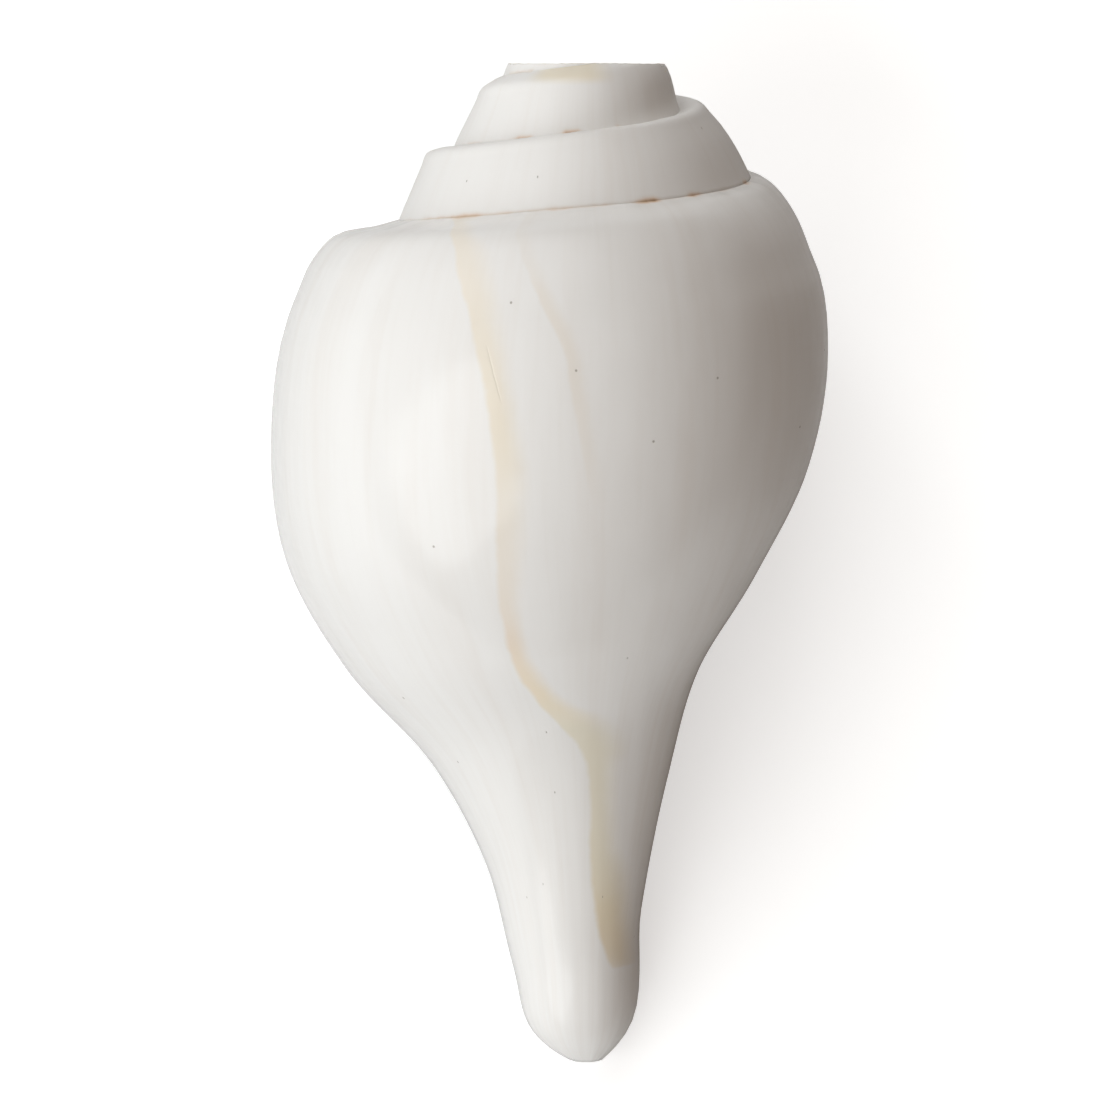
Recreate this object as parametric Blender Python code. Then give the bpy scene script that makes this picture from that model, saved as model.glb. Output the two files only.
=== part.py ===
"""A blowing chank: a heavy white sea shell, 150 mm long, with its apex sawn off.

The shell is one piece. It is shaped upright about its coiling axis, apex up and siphonal canal
down, with its back towards -Y, and is then laid down on its aperture as it rests on a table.

Lengths in the tables are millimetres: a radius from the coiling axis and a height over the middle
of the saw cut. A "turn" counts whole turns of the coil, back in time from the left-hand side of the
body whorl: the lip is a little before turn 0, the body whorl ends at turn 1 and the spire follows.
A "station" is a place down one whorl, from its suture (0) to the end of the canal (13).
"""

import math

import bmesh
import bpy
import numpy as np

MM = 0.001

# The suture, where a whorl joins the one above it, each quarter turn from turn -1. Before the lip it
# is the line along the body whorl that a further whorl would follow.
SUTURE = (
    (43.3, -34.4), (38.5, -31.0), (33.4, -27.6), (30.2, -25.6),
    (28.0, -23.3), (25.8, -19.0), (24.5, -16.7), (22.2, -14.6),
    (19.7, -12.3), (16.6, -8.8), (13.9, -6.7), (13.2, -4.6),
    (12.4, -2.1), (10.8, -0.8), (8.2, 1.4), (6.6, 3.9),
    (5.4, 6.2), (4.4, 8.4), (3.7, 10.4), (3.2, 12.2), (2.8, 14.0),
)
SUTURE_START = -1.0
QUARTER_TURN = 0.25
HALF_TURN = 0.5

# Ledge, shoulder top and shoulder side, as steps out and down from the suture, each half turn.
SHOULDERS = (
    ((3.8, -1.1), (9.8, -2.6), (12.9, -6.0)),
    ((2.5, -0.7), (4.3, -2.2), (6.9, -6.0)),
    ((2.1, -0.2), (4.1, -1.0), (4.9, -2.9)),
    ((1.5, 0.6), (2.9, 0.9), (4.9, -0.9)),
    ((1.7, -0.8), (3.3, -2.0), (4.0, -3.6)),
    ((0.9, -0.3), (1.8, -0.7), (2.9, -1.6)),
    ((1.8, -0.6), (3.4, -1.4), (4.6, -3.0)),
    ((1.2, -0.5), (2.2, -1.2), (2.8, -2.6)),
    ((1.2, -0.5), (2.2, -1.2), (2.8, -2.6)),
)

# The body whorl below its shoulder at turn 0 and at turn 0.5: widest, belly, underside, flank,
# neck, upper canal, lower canal, tip.
LATE_BODY = (
    (47.3, -54.0), (45.2, -75.0), (36.3, -91.2), (22.8, -106.5),
    (15.1, -121.5), (11.0, -137.5), (8.3, -147.0), (2.6, -151.6),
)
EARLY_BODY = (
    (36.1, -42.5), (33.5, -58.5), (25.6, -74.8), (17.2, -88.9),
    (12.5, -106.0), (8.4, -127.0), (6.0, -147.4), (2.6, -151.6),
)

# A whorl goes on inside the next one: its belly is in proportion to the suture that covers it, and
# below that it is the columella, down to the floor of the spiral chamber.
HIDDEN_BELLY = ((1.08, -0.45), (1.0, -0.90), (0.76, -1.30), (0.43, -1.72))
COLUMELLA_RADIUS = 0.27
COLUMELLA_STEPS = (0.20, 0.45, 0.75)
CHAMBER_FLOOR = (
    (1.3, -150.5), (9.0, -98.0), (7.0, -78.0), (6.0, -58.0),
    (5.0, -41.0), (4.5, -28.0), (3.5, -16.0),
)

# The shell wall where the suture's radius is FULL_RADIUS; it is thinner up the spire.
WALL = 4.3
FULL_RADIUS = 28.0
CEILING_STEP = (1.4, -3.6)
CANAL_WALL = 0.8
SHOULDER_WALL = 0.9
CANAL_CLOSES_BY = 0.2

# The lip is behind the left-hand side at the shoulder and swings back along the canal.
LIP_TURN = -28.0 / 360.0
LIP_LAG = 28.0 / 360.0
LAG_STATIONS = (6.0, 12.0)
LIP_BULGE = 0.8
LIP_BULGE_FROM = 2.5

# Folds that wind round the columella inside the aperture.
PLAIT_STATIONS = (8.75, 9.25, 9.75)
PLAIT_HALF_WIDTH = 0.25
PLAIT_HEIGHT = 1.9
PLAIT_TURNS = (0.85, 0.97)

SPIRE_TURNS = 3.6
CHAMBER_TURNS = 2.8
TIP_BULGE = 0.3
TOP_BULGE = 3.0

COLUMNS_PER_TURN = 30
ROWS_PER_STATION = (1, 1, 1, 2, 2, 1, 2, 2, 4, 4, 2, 2, 1)
SHOULDER_SIDE = 3
OVERLAP = 4
CEILING = 5
FLANK = 9
LAST = 13

SAW_TILT = math.radians(4.0)
SAW_BLOCK = 60.0
BLOW_HOLE_RADIUS = 4.5
BLOW_HOLE_FLARE = 5.5
BLOW_HOLE_DEPTH = 15.0
BLOW_HOLE_SIDES = 24

REST_PITCH = math.radians(-74.1)
REST_ROLL = math.radians(-3.4)


def ease(value, low, high):
    """0 up to low, 1 from high, and a smooth step between."""
    part = np.clip((value - low) / (high - low), 0.0, 1.0)
    return part * part * (3.0 - 2.0 * part)


def hermite(start, end, start_slope, end_slope, part):
    """A cubic from start to end with the slopes given, at part 0 to 1."""
    square = part * part
    cube = square * part
    blend = 3.0 * square - 2.0 * cube
    return (
        start * (1.0 - blend)
        + end * blend
        + start_slope * (cube - 2.0 * square + part)
        + end_slope * (cube - square)
    )


def along(values, turns, step, first=0.0):
    """Values listed every step of a turn, read at any turns without overshoot."""
    values = np.asarray(values)
    rises = np.diff(values, axis=0)
    both = rises[:-1] * rises[1:]
    total = np.where(both > 0.0, rises[:-1] + rises[1:], 1.0)
    slopes = np.concatenate([rises[:1], np.where(both > 0.0, 2.0 * both / total, 0.0), rises[-1:]])
    place = (turns - first) / step
    index = np.clip(np.floor(place).astype(int), 0, len(values) - 2)
    part = (place - index).reshape((-1,) + (1,) * (values.ndim - 1))
    inside = hermite(values[index], values[index + 1], slopes[index], slopes[index + 1], part)
    return np.where(part < 0.0, values[index] + slopes[index] * part, inside)


def body_table():
    """The stations from the widest point down, each half turn: the body whorl, then the hidden ones."""
    table = [LATE_BODY, EARLY_BODY]
    for half, (floor_radius, floor_height) in enumerate(CHAMBER_FLOOR):
        turn = np.array([half * HALF_TURN])
        radius, height = along(SUTURE, turn, QUARTER_TURN, SUTURE_START)[0]
        rows = [(radius * out, height + radius * down) for out, down in HIDDEN_BELLY]
        start = rows[-1][1]
        for step in COLUMELLA_STEPS:
            part = (step - COLUMELLA_STEPS[0]) / (1.0 - COLUMELLA_STEPS[0])
            rows.append((
                radius * COLUMELLA_RADIUS * (1.0 - part) + floor_radius * part,
                start + (floor_height - start) * step,
            ))
        rows.append((floor_radius, floor_height))
        table.append(rows)
    return np.array(table)


BODY_TABLE = body_table()


def wall_scale(radius):
    return np.sqrt(np.minimum(radius, FULL_RADIUS) / FULL_RADIUS)[:, None]


def outline_points(turns):
    """The 14 stations of the outer outline at each of the turns, as radius and height."""
    points = np.zeros((len(turns), LAST + 1, 2))
    points[:, 0] = along(SUTURE, turns, QUARTER_TURN, SUTURE_START)
    points[:, 1:OVERLAP] = points[:, :1] + along(SHOULDERS, turns, HALF_TURN)
    points[:, OVERLAP] = along(SUTURE, turns - 1.0, QUARTER_TURN, SUTURE_START)
    points[:, CEILING] = points[:, OVERLAP] + wall_scale(points[:, OVERLAP, 0]) * np.array(CEILING_STEP)
    points[:, CEILING + 1:] = along(BODY_TABLE, turns, HALF_TURN)
    return points


def on_curve(points, station):
    """A smooth curve through each row of points, at one station."""
    index = min(int(station), LAST - 1)
    chords = np.diff(points, axis=1)
    lengths = np.linalg.norm(chords, axis=2, keepdims=True)
    units = chords / lengths

    def heading(at):
        if at == 0:
            return units[:, 0]
        if at == LAST:
            return 2.0 * units[:, -1] - heading(LAST - 1)
        before, after = lengths[:, at - 1], lengths[:, at]
        return (units[:, at - 1] * after + units[:, at] * before) / (before + after)

    return hermite(
        points[:, index],
        points[:, index + 1],
        heading(index) * lengths[:, index],
        heading(index + 1) * lengths[:, index],
        station - index,
    )


def outer_wall(turns, station):
    points = on_curve(outline_points(turns), station)
    folds = sum(
        np.clip(1.0 - ((station - fold) / PLAIT_HALF_WIDTH) ** 2, 0.0, 1.0) for fold in PLAIT_STATIONS
    )
    size = along(SUTURE, turns, QUARTER_TURN, SUTURE_START)[:, 0] / FULL_RADIUS
    points[:, 0] += PLAIT_HEIGHT * folds * size * ease(turns, *PLAIT_TURNS)
    return points


def inward(points, station):
    """The direction into the shell wall, square to the outline."""
    nudge = 0.02
    run = on_curve(points, station + nudge) - on_curve(points, station - nudge)
    run /= np.linalg.norm(run, axis=1, keepdims=True)
    return np.stack([run[:, 1], -run[:, 0]], axis=1)


def chamber_points(turns):
    """The 14 stations of the spiral chamber's outer side, a wall's thickness inside the outline."""
    outline = outline_points(turns)
    next_whorl = outline_points(turns + 1.0)
    wall = WALL * wall_scale(outline[:, 0, 0])
    points = np.zeros_like(outline)
    points[:, 0] = next_whorl[:, CEILING]
    points[:, LAST] = next_whorl[:, LAST]
    for station in range(SHOULDER_SIDE, LAST):
        share = CANAL_WALL if station > FLANK else 1.0
        if station == SHOULDER_SIDE:
            share = SHOULDER_WALL
        points[:, station] = outline[:, station] + inward(outline, station) * wall * share
    for station in range(1, SHOULDER_SIDE):
        part = station / SHOULDER_SIDE
        points[:, station] = points[:, 0] + (points[:, SHOULDER_SIDE] - points[:, 0]) * part
    closed = ease(turns, 0.0, CANAL_CLOSES_BY)[:, None]
    for station in range(FLANK + 1, LAST):
        part = (station - FLANK) / (LAST - FLANK)
        straight = points[:, FLANK] + (points[:, LAST] - points[:, FLANK]) * part
        points[:, station] += (straight - points[:, station]) * closed
    return points


def place(points, turns):
    """Radius and height at a turn of the coil, as a point in space in metres."""
    angle = math.pi * (2.0 * turns - 1.0)
    radius = points[:, 0] * MM
    return np.stack([radius * np.cos(angle), radius * np.sin(angle), points[:, 1] * MM], axis=1)


def lip_turn(station):
    return LIP_TURN + LIP_LAG * ease(station, *LAG_STATIONS)


def station_rows():
    """The stations that the mesh has rows at."""
    rows = [
        station + row / count
        for station, count in enumerate(ROWS_PER_STATION)
        for row in range(count)
    ]
    return rows + [float(LAST)]


def quads(grid, columns, rows):
    for column in columns:
        for row in rows:
            yield (
                grid[column, row],
                grid[column, row + 1],
                grid[column + 1, row + 1],
                grid[column + 1, row],
            )


def fan(loop, centre):
    for one, other in zip(loop, loop[1:] + loop[:1]):
        yield one, other, centre


def middle(vertices):
    return sum((vertex.co for vertex in vertices[1:]), vertices[0].co.copy()) / len(vertices)


def shell_mesh():
    """The whole shell as one closed mesh, before its apex is cut."""
    mesh = bmesh.new()
    rows = station_rows()
    last = len(rows) - 1
    overlap = rows.index(OVERLAP)
    ceiling = rows.index(CEILING)
    body = COLUMNS_PER_TURN
    spire = round(SPIRE_TURNS * COLUMNS_PER_TURN)
    chamber = round(CHAMBER_TURNS * COLUMNS_PER_TURN)

    # One sheet is the outside of the body whorl and spire, and inside, the parietal wall and
    # columella. A whorl's overlap row is the suture row of the whorl a turn later.
    outer = {}
    for row, station in enumerate(rows):
        turns = lip_turn(station) + np.arange(chamber + body + 1) / body
        for column, spot in enumerate(place(outer_wall(turns, station), turns)):
            if row == overlap and column >= body:
                outer[column, row] = outer.get((column - body, 0))
            elif row > ceiling or column <= (spire if row < overlap else body) or row == ceiling:
                outer[column, row] = mesh.verts.new(spot)

    # The other sheet is the outer side of the chamber. It meets the first along its top and floor.
    inner = {}
    for row, station in enumerate(rows):
        turns = lip_turn(station) + np.arange(chamber + 1) / body
        for column, spot in enumerate(place(on_curve(chamber_points(turns), station), turns)):
            if row in (0, last):
                inner[column, row] = outer[column + body, ceiling if row == 0 else last]
            else:
                inner[column, row] = mesh.verts.new(spot)

    # The lip joins the two sheets with a rounded edge.
    lip = {}
    bands = ceiling - overlap
    for row, station in enumerate(rows):
        edge, inside = outer[0, row].co, inner[0, row].co
        angle = math.pi * (2.0 * float(lip_turn(station)) - 1.0)
        forward = np.array([math.sin(angle), -math.cos(angle), 0.0])
        reach = LIP_BULGE * float(ease(station, 0.0, LIP_BULGE_FROM)) * (edge - inside).length / 2.0
        for band in range(bands + 1):
            swing = math.pi * band / bands
            if band == 0:
                lip[band, row] = outer[0, row]
            elif band == bands:
                lip[band, row] = inner[0, row]
            elif row == 0:
                lip[band, row] = outer[body, overlap + band]
            else:
                spot = np.array((edge + inside) / 2.0) + math.cos(swing) * np.array(edge - inside) / 2.0
                lip[band, row] = mesh.verts.new(spot + math.sin(swing) * reach * forward)

    faces = list(quads(outer, range(spire), range(overlap)))
    faces += quads(outer, range(body), range(overlap, last))
    faces += quads(outer, range(body, body + chamber), range(ceiling, last))
    faces += [face[::-1] for face in quads(inner, range(chamber), range(last))]
    faces += [face[::-1] for face in quads(lip, range(bands), range(last))]

    tip_ring = [outer[column, last] for column in range(body + 1)]
    tip_ring += [lip[band, last] for band in range(bands - 1, 0, -1)]
    tip = mesh.verts.new(middle(tip_ring))
    tip.co.z -= TIP_BULGE * MM
    faces += [face[::-1] for face in fan(tip_ring, tip)]

    top_ring = [outer[column, 0] for column in range(spire - body, spire + 1)]
    top_ring += [outer[spire, row] for row in range(1, overlap)]
    top = mesh.verts.new(middle(top_ring))
    top.co.z += TOP_BULGE * MM
    faces += fan(top_ring, top)

    end_ring = [inner[chamber, row] for row in range(last + 1)]
    end_ring += [outer[chamber + body, row] for row in range(last - 1, ceiling, -1)]
    faces += [face[::-1] for face in fan(end_ring, mesh.verts.new(middle(end_ring)))]

    for face in faces:
        mesh.faces.new(face)
    data = bpy.data.meshes.new("shell")
    mesh.to_mesh(data)
    mesh.free()
    return data


def shell_material():
    material = bpy.data.materials.new("polished shell")
    material.use_nodes = True
    shader = material.node_tree.nodes["Principled BSDF"]
    shader.inputs["Base Color"].default_value = (0.80, 0.77, 0.73, 1.0)
    shader.inputs["Roughness"].default_value = 0.25
    shader.inputs["Metallic"].default_value = 0.0
    return material


def cutter(name, mesh, shell):
    """An object that is cut out of the shell and moves with it."""
    data = bpy.data.meshes.new(name)
    mesh.to_mesh(data)
    mesh.free()
    tool = bpy.data.objects.new(name, data)
    bpy.context.scene.collection.objects.link(tool)
    tool.parent = shell
    tool.hide_render = True
    tool.display_type = "WIRE"
    cut = shell.modifiers.new(name, "BOOLEAN")
    cut.operation = "DIFFERENCE"
    cut.solver = "EXACT"
    cut.object = tool
    return tool


def add_saw_cut(shell):
    """The apex is sawn off nearly square to the axis."""
    mesh = bmesh.new()
    bmesh.ops.create_cube(mesh, size=SAW_BLOCK * MM)
    bmesh.ops.translate(mesh, verts=mesh.verts, vec=(0.0, 0.0, SAW_BLOCK * MM / 2.0))
    saw = cutter("saw_cut", mesh, shell)
    saw.rotation_euler.x = -SAW_TILT


def add_blow_hole(shell):
    """The hole that is blown into, opened from the sawn face down into the spiral chamber."""
    mesh = bmesh.new()
    bmesh.ops.create_cone(
        mesh,
        cap_ends=True,
        segments=BLOW_HOLE_SIDES,
        radius1=BLOW_HOLE_RADIUS * MM,
        radius2=BLOW_HOLE_FLARE * MM,
        depth=2.0 * BLOW_HOLE_DEPTH * MM,
    )
    cutter("blow_hole_cut", mesh, shell)


def lay_down(shell):
    """Rest the shell on its lip, belly and canal, centred over the origin."""
    shell.rotation_mode = "ZYX"
    shell.rotation_euler = (REST_PITCH, 0.0, REST_ROLL)
    bpy.context.view_layer.update()
    finished = shell.evaluated_get(bpy.context.evaluated_depsgraph_get())
    spots = np.array([finished.matrix_world @ vertex.co for vertex in finished.data.vertices])
    low, high = spots.min(axis=0), spots.max(axis=0)
    shell.location = (-(low[0] + high[0]) / 2.0, -(low[1] + high[1]) / 2.0, -low[2])


def main():
    for item in list(bpy.data.objects):
        bpy.data.objects.remove(item, do_unlink=True)
    shell = bpy.data.objects.new("shell", shell_mesh())
    bpy.context.scene.collection.objects.link(shell)
    shell.data.materials.append(shell_material())
    add_saw_cut(shell)
    add_blow_hole(shell)
    shell.data.shade_smooth()
    lay_down(shell)


main()
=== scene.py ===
"""The looks of a blowing chank: a polished white sea shell, lying on its aperture on a pale floor.

The shell is shaped upright about its coiling axis, apex up and siphonal canal down, with its back
towards -Y, by the same rules as the CAD solid but finer, and is then laid down in the CAD's box.

Lengths in the tables are millimetres: a radius from the coiling axis and a height over the middle
of the saw cut. A "turn" counts whole turns of the coil, back in time from the left-hand side of the
body whorl: the lip is a little before turn 0, the body whorl ends at turn 1 and the spire follows.
A "station" is a place down one whorl, from its suture (0) to the end of the canal (13).
"""

import math

import bmesh
import bpy
import numpy as np
from mathutils import Matrix, Vector


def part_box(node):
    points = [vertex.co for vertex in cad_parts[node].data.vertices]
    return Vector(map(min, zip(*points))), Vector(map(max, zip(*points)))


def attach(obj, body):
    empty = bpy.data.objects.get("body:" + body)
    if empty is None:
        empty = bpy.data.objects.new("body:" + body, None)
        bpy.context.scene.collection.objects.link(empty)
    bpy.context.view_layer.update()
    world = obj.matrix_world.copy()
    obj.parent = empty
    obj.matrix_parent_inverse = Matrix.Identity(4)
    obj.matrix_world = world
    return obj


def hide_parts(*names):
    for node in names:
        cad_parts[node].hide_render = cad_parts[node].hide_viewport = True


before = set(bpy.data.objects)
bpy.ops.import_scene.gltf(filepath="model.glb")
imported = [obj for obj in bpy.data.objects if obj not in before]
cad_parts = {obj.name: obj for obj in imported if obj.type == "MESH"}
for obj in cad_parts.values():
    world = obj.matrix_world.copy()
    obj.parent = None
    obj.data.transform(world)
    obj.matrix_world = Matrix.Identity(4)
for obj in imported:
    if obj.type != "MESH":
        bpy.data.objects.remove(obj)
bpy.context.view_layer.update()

MM = 0.001

# The suture, where a whorl joins the one above it, each quarter turn from turn -1. Before the lip it
# is the line along the body whorl that a further whorl would follow.
SUTURE = (
    (43.3, -34.4), (38.5, -31.0), (33.4, -27.6), (30.2, -25.6),
    (28.0, -23.3), (25.8, -19.0), (24.5, -16.7), (22.2, -14.6),
    (19.7, -12.3), (16.6, -8.8), (13.9, -6.7), (13.2, -4.6),
    (12.4, -1.8), (10.8, 0.6), (8.2, 2.4), (6.6, 4.2),
    (5.4, 6.2), (4.4, 8.4), (3.7, 10.4), (3.2, 12.2), (2.8, 14.0),
)
SUTURE_START = -1.0
QUARTER_TURN = 0.25
HALF_TURN = 0.5

# Ledge, shoulder top and shoulder side, as steps out and down from the suture, each half turn.
SHOULDERS = (
    ((3.8, -1.1), (9.8, -2.6), (12.9, -6.0)),
    ((2.5, -0.7), (4.3, -2.2), (6.9, -6.0)),
    ((2.1, -0.2), (4.1, -1.0), (4.9, -2.9)),
    ((1.5, 0.6), (2.9, 0.9), (4.9, -0.9)),
    ((1.7, -0.8), (3.3, -2.0), (4.0, -3.6)),
    ((0.9, -0.3), (1.8, -0.7), (2.9, -1.6)),
    ((1.8, -0.6), (3.4, -1.4), (4.6, -3.0)),
    ((1.2, -0.5), (2.2, -1.2), (2.8, -2.6)),
    ((1.2, -0.5), (2.2, -1.2), (2.8, -2.6)),
)

# The body whorl below its shoulder at turn 0 and at turn 0.5: widest, belly, underside, flank,
# neck, upper canal, lower canal, tip.
LATE_BODY = (
    (47.3, -54.0), (45.2, -75.0), (36.3, -91.2), (22.8, -106.5),
    (15.1, -121.5), (11.0, -137.5), (8.3, -147.0), (2.6, -151.6),
)
EARLY_BODY = (
    (36.1, -42.5), (33.5, -58.5), (25.6, -74.8), (17.2, -88.9),
    (12.5, -106.0), (8.4, -127.0), (6.0, -147.4), (2.6, -151.6),
)

# A whorl goes on inside the next one: its belly is in proportion to the suture that covers it, and
# below that it is the columella, down to the floor of the spiral chamber.
HIDDEN_BELLY = ((1.08, -0.45), (1.0, -0.90), (0.76, -1.30), (0.43, -1.72))
COLUMELLA_RADIUS = 0.27
COLUMELLA_STEPS = (0.20, 0.45, 0.75)
CHAMBER_FLOOR = (
    (1.3, -150.5), (9.0, -98.0), (7.0, -78.0), (6.0, -58.0),
    (5.0, -41.0), (4.5, -28.0), (3.5, -16.0),
)

# The shell wall where the suture's radius is FULL_RADIUS; it is thinner up the spire. The canal's and
# the shoulder's are shares of it, and the canal is closed off inside by a turn.
WALL = 4.3
FULL_RADIUS = 28.0
CEILING_STEP = (1.4, -3.6)
CANAL_WALL = 0.8
SHOULDER_WALL = 0.9
CANAL_CLOSES_BY = 0.2

# The lip is behind the left-hand side at the shoulder and swings back along the canal.
LIP_TURN = -28.0 / 360.0
LIP_LAG = 28.0 / 360.0
LAG_STATIONS = (6.0, 12.0)
LIP_BULGE = 0.8
LIP_BULGE_FROM = 2.5

# Folds that wind round the columella inside the aperture.
PLAIT_STATIONS = (8.75, 9.25, 9.75)
PLAIT_HALF_WIDTH = 0.25
PLAIT_HEIGHT = 1.9
PLAIT_TURNS = (0.85, 0.97)

# How far the spire and the chamber wind, and how far the closed tip and top stand out.
SPIRE_TURNS = 3.6
CHAMBER_TURNS = 2.8
TIP_BULGE = 0.3
TOP_BULGE = 3.0

# Stations with a name of their own.
SHOULDER_SIDE = 3
OVERLAP = 4
CEILING = 5
FLANK = 9
LAST = 13

# How fine the mesh is.
COLUMNS_PER_TURN = 120
ROWS_PER_STATION = (8, 4, 5, 9, 6, 4, 7, 8, 11, 10, 8, 8, 6)
SPIRE_COLUMNS = round(SPIRE_TURNS * COLUMNS_PER_TURN)
CHAMBER_COLUMNS = round(CHAMBER_TURNS * COLUMNS_PER_TURN)

# The saw cut, the marks of the blade, and the blow hole. Each mark is a wave across the cut.
SAW_TILT = math.radians(4.0)
SAW_SPAN = 40.0
SAW_HEIGHT = 30.0
SAW_CELLS = 56
SAW_MARKS = ((31.0, 0.5, 0.0), (53.0, 0.3, 0.4), (17.0, 0.2, 0.7))
SAW_RELIEF = 0.07
BLOW_HOLE_RADIUS = 4.5
BLOW_HOLE_FLARE = 5.5
BLOW_HOLE_DEPTH = 15.0
BLOW_HOLE_SIDES = 72

# How the shell lies on its lip, belly and canal.
REST_PITCH = math.radians(-74.1)
REST_ROLL = math.radians(-3.4)
REST = Matrix.Rotation(REST_PITCH, 4, "X") @ Matrix.Rotation(REST_ROLL, 4, "Z")

# Fine relief of the outside, in millimetres. Each wave is a count per turn, a share of the height and
# a start. The waves of a suture's edge rise and fade over stations. The wall that is hidden inside,
# from these stations and turns on, has no relief.
GROWTH_WAVES = ((7.0, 0.35, 0.1), (13.0, 0.25, 0.55), (29.0, 0.2, 0.83), (47.0, 0.2, 0.37))
GROWTH_RELIEF = 0.05
EDGE_WAVES = ((11.0, 0.3, 0.2), (23.0, 0.3, 0.7), (41.0, 0.25, 0.45), (53.0, 0.15, 0.9))
EDGE_RELIEF = 0.16
EDGE_RISES = (0.0, 0.12)
EDGE_FADES = (0.5, 1.6)
GROOVE_DEPTH = 0.30
GROOVE_UNEVEN = 0.6
HIDDEN_FROM_STATION = (OVERLAP + 0.6, CEILING)
HIDDEN_FROM_TURN = (0.9, 1.0)

# Dirt caught along the sutures: from and to a turn, and how dark. It begins and ends over a part of a
# turn, and reaches so many millimetres, and farther where it is dark.
SUTURE_DIRT = (
    (0.02, 0.42, 0.32), (0.07, 0.285, 0.50), (0.095, 0.16, 0.66),
    (0.292, 0.325, 0.85), (0.348, 0.372, 0.80), (0.440, 0.465, 0.80),
    (1.03, 1.34, 0.25), (1.055, 1.095, 0.50), (1.143, 1.178, 0.78), (1.21, 1.25, 0.74),
    (1.292, 1.308, 0.80), (2.05, 2.14, 0.42),
)
DIRT_END = 0.008
DIRT_REACH = 0.45
DIRT_SPREAD = 0.45

# Edges turn sharp from this angle.
SHARP_FROM = math.radians(38.0)

OUTSIDE, INSIDE, SAWN = range(3)


def ease(value, low, high):
    """0 up to low, 1 from high, and a smooth step between."""
    part = np.clip((value - low) / (high - low), 0.0, 1.0)
    return part * part * (3.0 - 2.0 * part)


def hermite(start, end, start_slope, end_slope, part):
    """A cubic from start to end with the slopes given, at part 0 to 1."""
    square = part * part
    cube = square * part
    blend = 3.0 * square - 2.0 * cube
    return (
        start * (1.0 - blend)
        + end * blend
        + start_slope * (cube - 2.0 * square + part)
        + end_slope * (cube - square)
    )


def along(values, turns, step, first=0.0):
    """Values listed every step of a turn, read at any turns without overshoot."""
    values = np.asarray(values)
    rises = np.diff(values, axis=0)
    both = rises[:-1] * rises[1:]
    total = np.where(both > 0.0, rises[:-1] + rises[1:], 1.0)
    slopes = np.concatenate([rises[:1], np.where(both > 0.0, 2.0 * both / total, 0.0), rises[-1:]])
    place = (turns - first) / step
    index = np.clip(np.floor(place).astype(int), 0, len(values) - 2)
    part = (place - index).reshape((-1,) + (1,) * (values.ndim - 1))
    inside = hermite(values[index], values[index + 1], slopes[index], slopes[index + 1], part)
    return np.where(part < 0.0, values[index] + slopes[index] * part, inside)


def body_table():
    """The stations from the widest point down, each half turn: the body whorl, then the hidden ones."""
    table = [LATE_BODY, EARLY_BODY]
    for half, (floor_radius, floor_height) in enumerate(CHAMBER_FLOOR):
        turn = np.array([half * HALF_TURN])
        radius, height = along(SUTURE, turn, QUARTER_TURN, SUTURE_START)[0]
        rows = [(radius * out, height + radius * down) for out, down in HIDDEN_BELLY]
        start = rows[-1][1]
        for step in COLUMELLA_STEPS:
            part = (step - COLUMELLA_STEPS[0]) / (1.0 - COLUMELLA_STEPS[0])
            rows.append((
                radius * COLUMELLA_RADIUS * (1.0 - part) + floor_radius * part,
                start + (floor_height - start) * step,
            ))
        rows.append((floor_radius, floor_height))
        table.append(rows)
    return np.array(table)


BODY_TABLE = body_table()


def wall_scale(radius):
    """The wall's share of its full thickness, where the suture has a radius."""
    return np.sqrt(np.minimum(radius, FULL_RADIUS) / FULL_RADIUS)[:, None]


def outline_points(turns):
    """The 14 stations of the outer outline at each of the turns, as radius and height."""
    points = np.zeros((len(turns), LAST + 1, 2))
    points[:, 0] = along(SUTURE, turns, QUARTER_TURN, SUTURE_START)
    points[:, 1:OVERLAP] = points[:, :1] + along(SHOULDERS, turns, HALF_TURN)
    points[:, OVERLAP] = along(SUTURE, turns - 1.0, QUARTER_TURN, SUTURE_START)
    points[:, CEILING] = points[:, OVERLAP] + wall_scale(points[:, OVERLAP, 0]) * np.array(CEILING_STEP)
    points[:, CEILING + 1:] = along(BODY_TABLE, turns, HALF_TURN)
    return points


def on_curve(points, station):
    """A smooth curve through each row of points, at one station."""
    index = min(int(station), LAST - 1)
    chords = np.diff(points, axis=1)
    lengths = np.linalg.norm(chords, axis=2, keepdims=True)
    units = chords / lengths

    def heading(at):
        if at == 0:
            return units[:, 0]
        if at == LAST:
            return 2.0 * units[:, -1] - heading(LAST - 1)
        before, after = lengths[:, at - 1], lengths[:, at]
        return (units[:, at - 1] * after + units[:, at] * before) / (before + after)

    return hermite(
        points[:, index],
        points[:, index + 1],
        heading(index) * lengths[:, index],
        heading(index + 1) * lengths[:, index],
        station - index,
    )


def inward(points, station):
    """The direction into the shell wall, square to the outline."""
    nudge = 0.02
    run = on_curve(points, station + nudge) - on_curve(points, station - nudge)
    run /= np.linalg.norm(run, axis=1, keepdims=True)
    return np.stack([run[:, 1], -run[:, 0]], axis=1)


def ripple(turns, waves):
    """Irregular ups and downs round the coil."""
    return sum(share * np.sin(2.0 * math.pi * (count * turns + start)) for count, share, start in waves)


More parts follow.
